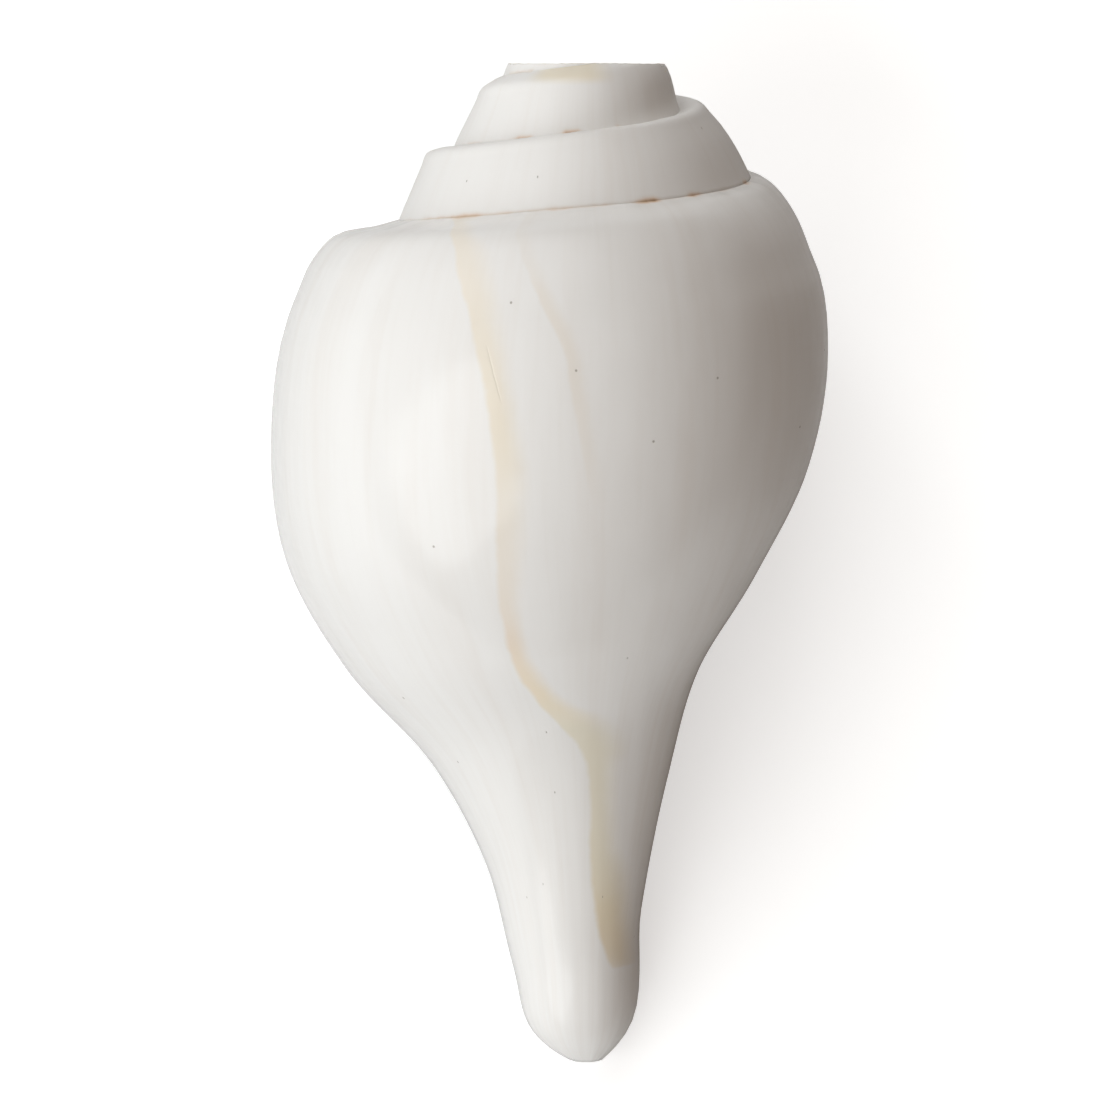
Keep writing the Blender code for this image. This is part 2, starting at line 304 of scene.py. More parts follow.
def relief(turns, station):
    """How far the outside stands proud of its smooth form."""
    visible = 1.0 - ease(station, *HIDDEN_FROM_STATION) * ease(turns, *HIDDEN_FROM_TURN)
    size = np.sqrt(along(SUTURE, turns, QUARTER_TURN, SUTURE_START)[:, 0] / FULL_RADIUS)
    growth = GROWTH_RELIEF * ripple(turns - lip_turn(station), GROWTH_WAVES)
    edge = EDGE_RELIEF * ripple(turns, EDGE_WAVES)
    edge = edge * ease(station, *EDGE_RISES) * (1.0 - ease(station, *EDGE_FADES))
    groove = 0.0
    if station == 0.0:
        groove = -GROOVE_DEPTH * (1.0 + GROOVE_UNEVEN * ripple(turns, EDGE_WAVES))
    return (growth + edge + groove) * size * visible


def outer_wall(turns, station):
    """The outside of the shell at one station, with its folds and relief."""
    outline = outline_points(turns)
    points = on_curve(outline, station)
    folds = sum(
        np.clip(1.0 - ((station - fold) / PLAIT_HALF_WIDTH) ** 2, 0.0, 1.0) for fold in PLAIT_STATIONS
    )
    size = along(SUTURE, turns, QUARTER_TURN, SUTURE_START)[:, 0] / FULL_RADIUS
    points[:, 0] += PLAIT_HEIGHT * folds * size * ease(turns, *PLAIT_TURNS)
    return points - inward(outline, station) * relief(turns, station)[:, None]


def chamber_points(turns):
    """The 14 stations of the spiral chamber's outer side, a wall's thickness inside the outline."""
    outline = outline_points(turns)
    next_whorl = outline_points(turns + 1.0)
    wall = WALL * wall_scale(outline[:, 0, 0])
    points = np.zeros_like(outline)
    points[:, 0] = next_whorl[:, CEILING]
    points[:, LAST] = next_whorl[:, LAST]
    for station in range(SHOULDER_SIDE, LAST):
        share = CANAL_WALL if station > FLANK else 1.0
        if station == SHOULDER_SIDE:
            share = SHOULDER_WALL
        points[:, station] = outline[:, station] + inward(outline, station) * wall * share
    for station in range(1, SHOULDER_SIDE):
        part = station / SHOULDER_SIDE
        points[:, station] = points[:, 0] + (points[:, SHOULDER_SIDE] - points[:, 0]) * part
    closed = ease(turns, 0.0, CANAL_CLOSES_BY)[:, None]
    for station in range(FLANK + 1, LAST):
        part = (station - FLANK) / (LAST - FLANK)
        straight = points[:, FLANK] + (points[:, LAST] - points[:, FLANK]) * part
        points[:, station] += (straight - points[:, station]) * closed
    return points


def place(points, turns):
    """Radius and height at a turn of the coil, as a point in space in metres."""
    angle = math.pi * (2.0 * turns - 1.0)
    radius = points[:, 0] * MM
    return np.stack([radius * np.cos(angle), radius * np.sin(angle), points[:, 1] * MM], axis=1)


def lip_turn(station):
    """The turn at which the shell begins, at its lip."""
    return LIP_TURN + LIP_LAG * ease(station, *LAG_STATIONS)


def station_rows():
    """The stations that the mesh has rows at, closer together beside the suture."""
    rows = []
    for station, count in enumerate(ROWS_PER_STATION):
        for row in range(count):
            part = row / count
            if station == 0:
                part = part ** 2
            elif station == OVERLAP - 1:
                part = 1.0 - (1.0 - part) ** 2
            rows.append(station + part)
    return rows + [float(LAST)]


ROWS = station_rows()
LAST_ROW = len(ROWS) - 1
OVERLAP_ROW = ROWS.index(OVERLAP)
CEILING_ROW = ROWS.index(CEILING)
LIP_BANDS = CEILING_ROW - OVERLAP_ROW


def dirt_at(turn, away):
    """How dark the dirt is, at a turn of a suture and a distance from it in millimetres."""
    amount = 0.0
    for start, end, dark in SUTURE_DIRT:
        begun = ease(turn, start, start + DIRT_END)
        over = ease(turn, end - DIRT_END, end)
        amount = max(amount, dark * begun * (1.0 - over))
    reach = DIRT_REACH + DIRT_SPREAD * amount
    return amount * math.exp(-((away / reach) ** 2))


class Grid:
    """Points, faces and values at points, gathered for one mesh."""

    def __init__(self):
        self.points = []
        self.turns = []
        self.dirt = []
        self.faces = []
        self.kinds = []

    def point(self, spot, turn):
        self.points.append(tuple(spot))
        self.turns.append(float(turn))
        self.dirt.append(0.0)
        return len(self.points) - 1

    def add(self, faces, kind, flip=False):
        for face in faces:
            self.faces.append(face[::-1] if flip else face)
            self.kinds.append(kind)

    def spot(self, index):
        return np.array(self.points[index])

    def dirt_from(self, suture, index):
        """The dirt that reaches a point from a point of a suture."""
        away = np.linalg.norm(self.spot(index) - self.spot(suture)) / MM
        return float(dirt_at(self.turns[suture], away))

    def centre(self, ring, lift=0.0):
        """A new point in the middle of a ring, raised by lift in millimetres."""
        spot = np.mean([self.points[index] for index in ring], axis=0)
        spot[2] += lift * MM
        return self.point(spot, 0.0)


def outer_sheet(mesh):
    """The outside of the body whorl and spire and, inside, the wall and columella.

    A whorl's overlap row is the suture row of the whorl a turn later.
    """
    outer = {}
    body = COLUMNS_PER_TURN
    for row, station in enumerate(ROWS):
        turns = lip_turn(station) + np.arange(CHAMBER_COLUMNS + body + 1) / body
        for column, spot in enumerate(place(outer_wall(turns, station), turns)):
            if row == OVERLAP_ROW and column >= body:
                outer[column, row] = outer[column - body, 0]
            elif row >= CEILING_ROW or column <= (SPIRE_COLUMNS if row < OVERLAP_ROW else body):
                outer[column, row] = mesh.point(spot, turns[column])
    return outer


def catch_dirt(mesh, outer):
    """Darken the outside beside its own suture and beside the one below it."""
    for column in range(SPIRE_COLUMNS + 1):
        covered = column >= COLUMNS_PER_TURN
        for row in range(OVERLAP_ROW if covered else OVERLAP_ROW + 1):
            index = outer[column, row]
            mesh.dirt[index] = mesh.dirt_from(outer[column, 0], index)
            if covered:
                below = mesh.dirt_from(outer[column, OVERLAP_ROW], index)
                mesh.dirt[index] = max(mesh.dirt[index], below)


def inner_sheet(mesh, outer):
    """The outer side of the chamber. It meets the other sheet along its top and floor."""
    inner = {}
    body = COLUMNS_PER_TURN
    for row, station in enumerate(ROWS):
        turns = lip_turn(station) + np.arange(CHAMBER_COLUMNS + 1) / body
        for column, spot in enumerate(place(on_curve(chamber_points(turns), station), turns)):
            if row in (0, LAST_ROW):
                inner[column, row] = outer[column + body, CEILING_ROW if row == 0 else LAST_ROW]
            else:
                inner[column, row] = mesh.point(spot, turns[column])
    return inner


def rounded_lip(mesh, outer, inner):
    """The lip joins the two sheets with a rounded edge."""
    lip = {}
    for row, station in enumerate(ROWS):
        edge = mesh.spot(outer[0, row])
        inside = mesh.spot(inner[0, row])
        angle = math.pi * (2.0 * float(lip_turn(station)) - 1.0)
        forward = np.array([math.sin(angle), -math.cos(angle), 0.0])
        bulge = LIP_BULGE * float(ease(station, 0.0, LIP_BULGE_FROM))
        reach = bulge * np.linalg.norm(edge - inside) / 2.0
        for band in range(LIP_BANDS + 1):
            swing = math.pi * band / LIP_BANDS
            if band == 0:
                lip[band, row] = outer[0, row]
            elif band == LIP_BANDS:
                lip[band, row] = inner[0, row]
            elif row == 0:
                lip[band, row] = outer[COLUMNS_PER_TURN, OVERLAP_ROW + band]
            else:
                spot = (edge + inside) / 2.0 + math.cos(swing) * (edge - inside) / 2.0
                spot = spot + math.sin(swing) * reach * forward
                lip[band, row] = mesh.point(spot, lip_turn(station))
    return lip


def quads(grid, columns, rows):
    """The four-sided faces of a sheet, from each of the columns and rows to the next."""
    for column in columns:
        for row in rows:
            yield (
                grid[column, row],
                grid[column, row + 1],
                grid[column + 1, row + 1],
                grid[column + 1, row],
            )


def fan(loop, centre):
    """Triangles from a closed loop to a point."""
    for one, other in zip(loop, loop[1:] + loop[:1]):
        yield one, other, centre


def close_ends(mesh, outer, inner, lip):
    """Close the canal's tip, the top of the spire and the end of the chamber."""
    body, spire, chamber = COLUMNS_PER_TURN, SPIRE_COLUMNS, CHAMBER_COLUMNS
    ring = [outer[column, LAST_ROW] for column in range(body + 1)]
    ring += [lip[band, LAST_ROW] for band in range(LIP_BANDS - 1, 0, -1)]
    mesh.add(fan(ring, mesh.centre(ring, -TIP_BULGE)), OUTSIDE, flip=True)

    ring = [outer[column, 0] for column in range(spire - body, spire + 1)]
    ring += [outer[spire, row] for row in range(1, OVERLAP_ROW)]
    mesh.add(fan(ring, mesh.centre(ring, TOP_BULGE)), OUTSIDE)

    ring = [inner[chamber, row] for row in range(LAST_ROW + 1)]
    ring += [outer[chamber + body, row] for row in range(LAST_ROW - 1, CEILING_ROW, -1)]
    mesh.add(fan(ring, mesh.centre(ring)), INSIDE, flip=True)


def shell_grid():
    """The whole shell as one closed mesh, before its apex is cut."""
    mesh = Grid()
    body, chamber = COLUMNS_PER_TURN, CHAMBER_COLUMNS
    outer = outer_sheet(mesh)
    catch_dirt(mesh, outer)
    inner = inner_sheet(mesh, outer)
    lip = rounded_lip(mesh, outer, inner)
    mesh.add(quads(outer, range(SPIRE_COLUMNS), range(OVERLAP_ROW)), OUTSIDE)
    mesh.add(quads(outer, range(body), range(OVERLAP_ROW, LAST_ROW)), OUTSIDE)
    mesh.add(quads(outer, range(body, body + chamber), range(CEILING_ROW, LAST_ROW)), INSIDE)
    mesh.add(quads(inner, range(chamber), range(LAST_ROW)), INSIDE, flip=True)
    mesh.add(quads(lip, range(LIP_BANDS), range(LAST_ROW)), OUTSIDE, flip=True)
    close_ends(mesh, outer, inner, lip)
    return mesh


def shell_mesh():
    """The shell's mesh. Its turn and its dirt are kept at each point, for the materials."""
    grid = shell_grid()
    data = bpy.data.meshes.new("shell_visual")
    data.from_pydata(grid.points, [], grid.faces)
    data.polygons.foreach_set("material_index", grid.kinds)
    for name, values in (("turn", grid.turns), ("dirt", grid.dirt)):
        layer = data.attributes.new(name, "FLOAT", "POINT")
        layer.data.foreach_set("value", values)
    data.validate()
    return data


def cutter(name, mesh, kind, shell):
    """An object that is cut out of the shell and leaves its own material on the cut."""
    data = bpy.data.meshes.new(name)
    mesh.to_mesh(data)
    mesh.free()
    for material in shell.data.materials:
        data.materials.append(material)
    data.polygons.foreach_set("material_index", [kind] * len(data.polygons))
    tool = bpy.data.objects.new(name, data)
    bpy.context.scene.collection.objects.link(tool)
    cut = shell.modifiers.new(name, "BOOLEAN")
    cut.operation = "DIFFERENCE"
    cut.solver = "EXACT"
    cut.material_mode = "INDEX"
    cut.object = tool
    return tool


def saw_block():
    """The waste over the saw cut, its underside rough from the blade."""
    mesh = bmesh.new()
    side = SAW_SPAN * MM
    bmesh.ops.create_grid(mesh, x_segments=SAW_CELLS, y_segments=SAW_CELLS, size=side / 2.0)
    floor = list(mesh.verts)
    raised = bmesh.ops.extrude_face_region(mesh, geom=mesh.faces[:])
    lifted = [item for item in raised["geom"] if isinstance(item, bmesh.types.BMVert)]
    bmesh.ops.translate(mesh, verts=lifted, vec=(0.0, 0.0, SAW_HEIGHT * MM))
    for vertex in floor:
        vertex.co.z += SAW_RELIEF * MM * float(ripple(vertex.co.x / side, SAW_MARKS))
        vertex.co.z += SAW_RELIEF * MM * float(ripple(vertex.co.y / side, SAW_MARKS[::-1]))
    bmesh.ops.recalc_face_normals(mesh, faces=mesh.faces[:])
    bmesh.ops.rotate(mesh, verts=mesh.verts[:], matrix=Matrix.Rotation(-SAW_TILT, 3, "X"))
    return mesh


def blow_hole_plug():
    """The hole that is blown into, from the sawn face down into the spiral chamber."""
    mesh = bmesh.new()
    bmesh.ops.create_cone(
        mesh,
        cap_ends=True,
        segments=BLOW_HOLE_SIDES,
        radius1=BLOW_HOLE_RADIUS * MM,
        radius2=BLOW_HOLE_FLARE * MM,
        depth=2.0 * BLOW_HOLE_DEPTH * MM,
    )
    return mesh


def finished_mesh(shell, tools):
    """The mesh with its cuts made, without the cutters."""
    bpy.context.view_layer.update()
    built = shell.evaluated_get(bpy.context.evaluated_depsgraph_get())
    data = bpy.data.meshes.new_from_object(built)
    shell.modifiers.clear()
    for tool in tools:
        spare = tool.data
        bpy.data.objects.remove(tool, do_unlink=True)
        bpy.data.meshes.remove(spare)
    return data


def lay_in_box(data, low, high):
    """Lay the finished mesh down in the CAD's box, and return the move that does it.

    Where each point was on the upright shell is kept as an attribute, for the materials.
    """
    spots = np.zeros(len(data.vertices) * 3)
    data.vertices.foreach_get("co", spots)
    turned = spots.reshape(-1, 3) @ np.array(REST.to_3x3()).T
    floor, top = turned.min(axis=0), turned.max(axis=0)
    room = np.array(high) - np.array(low)
    scale = min(1.0, float(np.min(room / (top - floor))))
    upright = data.attributes.new("upright", "FLOAT_VECTOR", "POINT")
    upright.data.foreach_set("vector", spots)
    middle = (np.array(low) + np.array(high)) / 2.0 - scale * (floor + top) / 2.0
    middle[2] = low[2] - scale * floor[2]
    laid = Matrix.Translation(middle) @ REST @ Matrix.Scale(scale, 4)
    data.transform(laid)
    return laid


# Materials. Their heights are metres on the upright shell, up from the middle of the saw cut.

# Patterns along the growth lines: how many units go to a turn and to a metre of height. The fine bands
# are read from a layer of their own.
GROWTH_BANDS = (34.0, 14.0)
FINE_BANDS = (160.0, 30.0)
STRIAE = (9.0, 900.0)
FINE_BANDS_LAYER = 2.0

# Shell white, and the bands' shades and shares. A band begins to show at the first of two values of its
# pattern and has its full share from the second.
WHITE = (0.865, 0.855, 0.838, 1.0)
CLOUDED_WHITE = (0.835, 0.820, 0.798, 1.0)
GROWTH_SHADE = (0.76, 0.71, 0.66, 1.0)
GROWTH_SHOWS = (0.45, 0.75)
GROWTH_SHARE = 0.30
FINE_SHADE = (0.72, 0.67, 0.61, 1.0)
FINE_SHOWS = (0.45, 0.8)
FINE_SHARE = 0.10

# Growth streaks follow old lip lines. Each point is a height and the turn of the streak's left-hand
# edge. From a share of its width on, a streak fades out to the right.
BODY_STREAK = (
    (-0.136, 0.322), (-0.131, 0.287), (-0.1245, 0.264), (-0.119, 0.259), (-0.108, 0.257), (-0.102, 0.249),
    (-0.0985, 0.235), (-0.0956, 0.220), (-0.092, 0.204), (-0.087, 0.196),
    (-0.078, 0.194), (-0.062, 0.200), (-0.050, 0.198), (-0.038, 0.1875),
    (-0.0318, 0.178), (-0.0277, 0.169), (-0.0244, 0.160), (-0.0223, 0.146), (-0.0214, 0.125),
)
# Along the body streak, from the canal up: its width in centimetres, how strong it is and its tint.
STREAK_WIDTH = (
    (-0.136, 0.70), (-0.125, 0.80), (-0.115, 0.52), (-0.105, 0.50), (-0.098, 0.88), (-0.092, 0.52),
    (-0.085, 0.38), (-0.078, 0.38), (-0.062, 0.56), (-0.045, 0.52), (-0.030, 0.66), (-0.022, 0.60),
)
STREAK_STRENGTH = (
    (-0.1360, 0.0), (-0.1325, 0.55), (-0.127, 0.60), (-0.123, 0.50), (-0.110, 0.42), (-0.101, 0.44),
    (-0.097, 0.46), (-0.091, 0.50), (-0.083, 0.46), (-0.076, 0.30), (-0.062, 0.36), (-0.050, 0.56),
    (-0.036, 0.46), (-0.022, 0.38),
)
STREAK_TINT = (
    (-0.130, (0.74, 0.59, 0.34, 1.0)),
    (-0.118, (0.72, 0.62, 0.36, 1.0)),
    (-0.097, (0.76, 0.68, 0.44, 1.0)),
    (-0.091, (0.84, 0.66, 0.37, 1.0)),
    (-0.082, (0.80, 0.60, 0.38, 1.0)),
    (-0.060, (0.76, 0.65, 0.47, 1.0)),
    (-0.045, (0.78, 0.67, 0.48, 1.0)),
    (-0.025, (0.86, 0.75, 0.57, 1.0)),
)
# In millimetres, except the share of the width.
STREAK_EDGE = 0.5
STREAK_WOBBLE = 1.6
STREAK_FULL_TO = 0.25
MM_PER_CM = 10.0

# A fainter streak to its right. Its width and its edge are in millimetres.
SIDE_STREAK = (
    (-0.062, 0.254), (-0.051, 0.247), (-0.045, 0.2425), (-0.036, 0.234), (-0.029, 0.217), (-0.022, 0.200),
)
SIDE_STRENGTH = (
    (-0.062, 0.0), (-0.051, 0.14), (-0.040, 0.20), (-0.031, 0.22), (-0.027, 0.12), (-0.022, 0.06),
)
SIDE_TINT = (0.74, 0.60, 0.42, 1.0)
SIDE_WIDTH = 3.0
SIDE_EDGE = 0.4

# A cream patch beside the sawn edge: the turns where it begins and ends, and the heights it rises over.
CREAM = (0.82, 0.73, 0.55, 1.0)
CREAM_SHARE = 0.7
CREAM_BEGINS = (2.13, 2.18)
CREAM_ENDS = (2.25, 2.31)
CREAM_RISES = (-0.0024, -0.0008)

# Dirt in the sutures, pale where there is little of it.
DIRT_PALE = (0.70, 0.52, 0.38, 1.0)
DIRT_DARK = (0.36, 0.23, 0.13, 1.0)
DIRT_CONTRAST = 1.4
DIRT_SHOWS = (0.0, 0.6)
DIRT_DARKENS = (0.35, 0.85)
DIRT_BREAKS = (0.3, 0.6)
DIRT_BROKEN_TO = 0.7

# Pits lie in cells, so many to a turn and to a metre of height, of which only a few hold one.
PIT_SHADE = (0.22, 0.18, 0.14, 1.0)
PIT_SHARE = 0.6
PIT_CELLS = (24.0, 95.0)
PIT_CHOSEN = (0.86, 0.87)
PIT_EDGE = (0.009, 0.024)

# A scratch beside the body streak, as two heights and turns. It fades at its ends over a height, and
# at its sides over millimetres.
SCRATCH = ((-0.0465, 0.2045), (-0.0368, 0.1935))
SCRATCH_FADE = 0.002
SCRATCH_EDGE = (0.04, 0.20)
SCRATCH_WOBBLE = 0.5

# Roughness of the polished body and of its top, the heights that it changes over, and what the spire,
# dull patches and the striae add, from where to where.
POLISH = (0.12, 0.19)
POLISH_FADES = (-0.050, -0.024)
SPIRE_FROM = (0.93, 0.99)
SPIRE_DULLER = 0.26
PATCH_SHOWS = (0.35, 0.7)
PATCH_DULLER = 0.03
STRIAE_SHOW = (0.4, 0.8)
STRIAE_DULLER = 0.04

# Depths of the finest relief, in millimetres.
DIMPLE_DEPTH = 0.13
GRAIN_DEPTH = 0.018
STRIAE_DEPTH = 0.010
FINE_BAND_DEPTH = 0.010
PIT_DEPTH = 0.05
SCRATCH_DEPTH = 0.03

# The aperture and the chamber.
MOUTH_CREAM = (0.84, 0.79, 0.73, 1.0)
DEEP_FLESH = (0.74, 0.56, 0.42, 1.0)
CLOUD_FLESH = (0.80, 0.68, 0.56, 1.0)
CLOUD_SHARE = 0.3
DEEP_BY_TURN = 1.2
MOUTH_ROUGHNESS = 0.22

# Sawn shell.
CHALK = (0.83, 0.77, 0.68, 1.0)
CHALK_LAYER = (0.72, 0.63, 0.50, 1.0)
CHALK_ROUGHNESS = 0.62
CHALK_BUMP = 0.6
CHALK_DEPTH = 0.1

# The floor as it is seen, the light that it throws back, and its glow.
FLOOR_SEEN = (0.8, 0.8, 0.8, 1.0)
FLOOR_THROWN = (0.35, 0.35, 0.35, 1.0)
FLOOR_GLOW = 0.55
GLOW_COLOUR = (1.0, 1.0, 1.0, 1.0)


class Nodes:
    """A material's nodes, made and joined in one call each."""

    def __init__(self, name):
        self.material = bpy.data.materials.new(name)
        self.material.use_nodes = True
        self.tree = self.material.node_tree
        self.shader = self.tree.nodes["Principled BSDF"]

    def put(self, socket, value):
        """Join a node's output to a socket, or set the socket's value."""
        if isinstance(value, bpy.types.NodeSocket):
            self.tree.links.new(value, socket)
        else:
            socket.default_value = value

    def add(self, kind, output=0, options=(), **inputs):
        """A new node's output. Inputs go by name, or by number as i0, i1 and so on."""
        node = self.tree.nodes.new(kind)
        for option, value in dict(options).items():
            setattr(node, option, value)
        for key, value in inputs.items():
            name = int(key[1:]) if key[1:].isdigit() else key
            self.put(node.inputs[name], value)
        return node.outputs[output]

    def math(self, operation, *values):
        inputs = {f"i{index}": value for index, value in enumerate(values)}
        return self.add("ShaderNodeMath", options={"operation": operation}, **inputs)

    def ramp(self, value, low, high, start=0.0, end=1.0):
        """A smooth step from start, up to low, to end, from high."""
        options = {"interpolation_type": "SMOOTHSTEP"}
        return self.add("ShaderNodeMapRange", options=options, i0=value, i1=low, i2=high, i3=start, i4=end)

    def attribute(self, name):
        return self.add("ShaderNodeAttribute", output="Fac", options={"attribute_name": name})

    def upright(self):
        """The place on the upright shell, in metres."""
        return self.add("ShaderNodeAttribute", output="Vector", options={"attribute_name": "upright"})

    def combine(self, x, y, z):
        return self.add("ShaderNodeCombineXYZ", X=x, Y=y, Z=z)

    def noise(self, vector, scale=1.0, detail=3.0, roughness=0.5, distortion=0.0):
        return self.add(
            "ShaderNodeTexNoise",
            Vector=vector,
            Scale=scale,
            Detail=detail,
            Roughness=roughness,
            Distortion=distortion,
        )

    def mix(self, share, one, other):
        """Colour one, turning to colour other as share goes from 0 to 1."""
        options = {"data_type": "RGBA"}
        return self.add("ShaderNodeMix", output=2, options=options, i0=share, i6=one, i7=other)


class Outside(Nodes):
    """The outside's material, with the places and patterns that its marks are laid out by."""

    def __init__(self):
        super().__init__("shell_polished")
        self.turn = self.attribute("turn")
        self.spot = self.upright()
        self.height = self.add("ShaderNodeSeparateXYZ", output="Z", Vector=self.spot)
        flat = self.add(
            "ShaderNodeVectorMath", options={"operation": "MULTIPLY"}, i0=self.spot, i1=(1.0, 1.0, 0.0)
        )
        radius = self.add("ShaderNodeVectorMath", output="Value", options={"operation": "LENGTH"}, i0=flat)
        self.girth = self.math("MULTIPLY", radius, 2.0 * math.pi / MM)
        self.uneven = self.noise(self.spot, scale=160.0, roughness=0.6)
        self.fine_bands = self.noise(self.unrolled(*FINE_BANDS, FINE_BANDS_LAYER), roughness=0.6)
        self.striae = self.noise(self.unrolled(*STRIAE), detail=2.0)

    def unrolled(self, per_turn, per_metre, layer=0.0):
        """The place on the unrolled shell, in a pattern's units to a turn and to a metre of height."""
        return self.combine(
            self.math("MULTIPLY", self.turn, per_turn),
            self.math("MULTIPLY", self.height, per_metre),
            layer,
        )

    def up_the_shell(self, low, high):
        """How far up the shell this is, from 0 at the low height to 1 at the high one."""
        return self.add("ShaderNodeMapRange", i0=self.height, i1=low, i2=high, i3=0.0, i4=1.0)

    def by_height(self, stops):
        """A value that changes smoothly with the height, read from stops of height and value."""
        low, high = stops[0][0], stops[-1][0]
        node = self.tree.nodes.new("ShaderNodeFloatCurve")
        curve = node.mapping.curves[0]
        while len(curve.points) < len(stops):
            curve.points.new(0.5, 0.5)
        for point, (height, value) in zip(curve.points, stops):
            point.location = ((height - low) / (high - low), value)
        node.mapping.update()
        self.put(node.inputs["Value"], self.up_the_shell(low, high))
        return node.outputs[0]

    def past(self, line, wobble):
        """Millimetres round the shell from a line to here, with an uneven edge."""
        away = self.math("MULTIPLY", self.math("SUBTRACT", self.turn, line), self.girth)
        return self.math("ADD", away, self.math("MULTIPLY", self.math("SUBTRACT", self.uneven, 0.5), wobble))

    def streak(self, line, width, edge, strength):
        """How strong a streak is here. Its left-hand edge is crisp, and it fades out to the right."""
        away = self.past(self.by_height(line), STREAK_WOBBLE)
        rise = self.ramp(away, -edge, edge)
        fall = self.ramp(self.math("DIVIDE", away, width), STREAK_FULL_TO, 1.0, 1.0, 0.0)
        return self.math("MULTIPLY", self.math("MULTIPLY", rise, fall), self.by_height(strength))

    def streak_tint(self):
        """The body streak's tint, which changes along it."""
        tint = self.tree.nodes.new("ShaderNodeValToRGB")
        low, high = BODY_STREAK[0][0], BODY_STREAK[-1][0]
        while len(tint.color_ramp.elements) < len(STREAK_TINT):
            tint.color_ramp.elements.new(0.5)
        for element, (height, shade) in zip(tint.color_ramp.elements, STREAK_TINT):
            element.position = (height - low) / (high - low)
            element.color = shade
        self.put(tint.inputs[0], self.up_the_shell(low, high))
        return tint.outputs[0]

    def white(self):
        """Shell white, a little clouded, with darker bands along the growth lines."""
        cloud = self.noise(self.spot, scale=26.0, roughness=0.55)
        colour = self.mix(cloud, WHITE, CLOUDED_WHITE)
        bands = self.noise(self.unrolled(*GROWTH_BANDS), detail=4.0, roughness=0.62, distortion=0.3)
        share = self.math("MULTIPLY", self.ramp(bands, *GROWTH_SHOWS), GROWTH_SHARE)
        colour = self.mix(share, colour, GROWTH_SHADE)
        share = self.math("MULTIPLY", self.ramp(self.fine_bands, *FINE_SHOWS), FINE_SHARE)
        return self.mix(share, colour, FINE_SHADE)

    def with_streaks(self, colour):
        """The streak down the body and the fainter one to its right."""
        width = self.math("MULTIPLY", self.by_height(STREAK_WIDTH), MM_PER_CM)
        body = self.streak(BODY_STREAK, width, STREAK_EDGE, STREAK_STRENGTH)
        colour = self.mix(body, colour, self.streak_tint())
        side = self.streak(SIDE_STREAK, SIDE_WIDTH, SIDE_EDGE, SIDE_STRENGTH)
        return self.mix(side, colour, SIDE_TINT)

    def with_cream(self, colour):
        """The cream patch beside the sawn edge."""
        across = self.math(
            "MULTIPLY", self.ramp(self.turn, *CREAM_BEGINS), self.ramp(self.turn, *CREAM_ENDS, 1.0, 0.0)
        )
        share = self.math("MULTIPLY", across, self.ramp(self.height, *CREAM_RISES, 0.0, CREAM_SHARE))
        return self.mix(share, colour, CREAM)

    def with_dirt(self, colour):
        """Brown dirt in the sutures, broken up a little."""
        dirt = self.math("POWER", self.attribute("dirt"), DIRT_CONTRAST)
        grit = self.noise(self.spot, scale=450.0, detail=2.0)
        dirt = self.math("MULTIPLY", dirt, self.ramp(grit, *DIRT_BREAKS, DIRT_BROKEN_TO, 1.0))
        brown = self.mix(self.ramp(dirt, *DIRT_DARKENS), DIRT_PALE, DIRT_DARK)
        return self.mix(self.ramp(dirt, *DIRT_SHOWS), colour, brown)

    def pit(self):
        """1 in a pit, and 0 elsewhere."""
        cells = self.tree.nodes.new("ShaderNodeTexVoronoi")
        cells.voronoi_dimensions = "2D"
        cells.inputs["Scale"].default_value = 1.0
        self.put(cells.inputs["Vector"], self.unrolled(*PIT_CELLS))
        cell = self.add("ShaderNodeSeparateColor", output="Red", Color=cells.outputs["Color"])
        near = self.ramp(cells.outputs["Distance"], *PIT_EDGE, 1.0, 0.0)
        return self.math("MULTIPLY", self.ramp(cell, *PIT_CHOSEN), near)

    def scratch(self):
        """1 in the scratch, and 0 elsewhere."""
        (low, _), (high, _) = SCRATCH
        away = self.math("ABSOLUTE", self.past(self.by_height(SCRATCH), SCRATCH_WOBBLE))
        ends = self.math(
            "MULTIPLY",
            self.ramp(self.height, low, low + SCRATCH_FADE),
            self.ramp(self.height, high - SCRATCH_FADE, high, 1.0, 0.0),
        )
        return self.math("MULTIPLY", self.ramp(away, *SCRATCH_EDGE, 1.0, 0.0), ends)

    def roughness(self):
        """The body is polished bright, less so near its top. The spire's whorls are duller."""
        rough = self.ramp(self.height, *POLISH_FADES, *POLISH)
        rough = self.math("ADD", rough, self.ramp(self.turn, *SPIRE_FROM, 0.0, SPIRE_DULLER))
        patches = self.noise(self.spot, scale=150.0, roughness=0.6)
        rough = self.math("ADD", rough, self.ramp(patches, *PATCH_SHOWS, 0.0, PATCH_DULLER))
        return self.math("ADD", rough, self.ramp(self.striae, *STRIAE_SHOW, 0.0, STRIAE_DULLER))

    def bump(self, pit):
        """Shallow dimples, grain and growth lines, with the pits and the scratch sunk in."""
        raised = (
            (self.noise(self.spot, scale=120.0, detail=2.0), DIMPLE_DEPTH),
            (self.noise(self.spot, scale=420.0, detail=2.0), GRAIN_DEPTH),
            (self.striae, STRIAE_DEPTH),
            (self.fine_bands, FINE_BAND_DEPTH),
            (pit, -PIT_DEPTH),
            (self.scratch(), -SCRATCH_DEPTH),
        )
        level = 0.0
        for shape, depth in raised:
            level = self.math("ADD", level, self.math("MULTIPLY", shape, depth))
        return self.add("ShaderNodeBump", Strength=1.0, Distance=MM, Height=level)


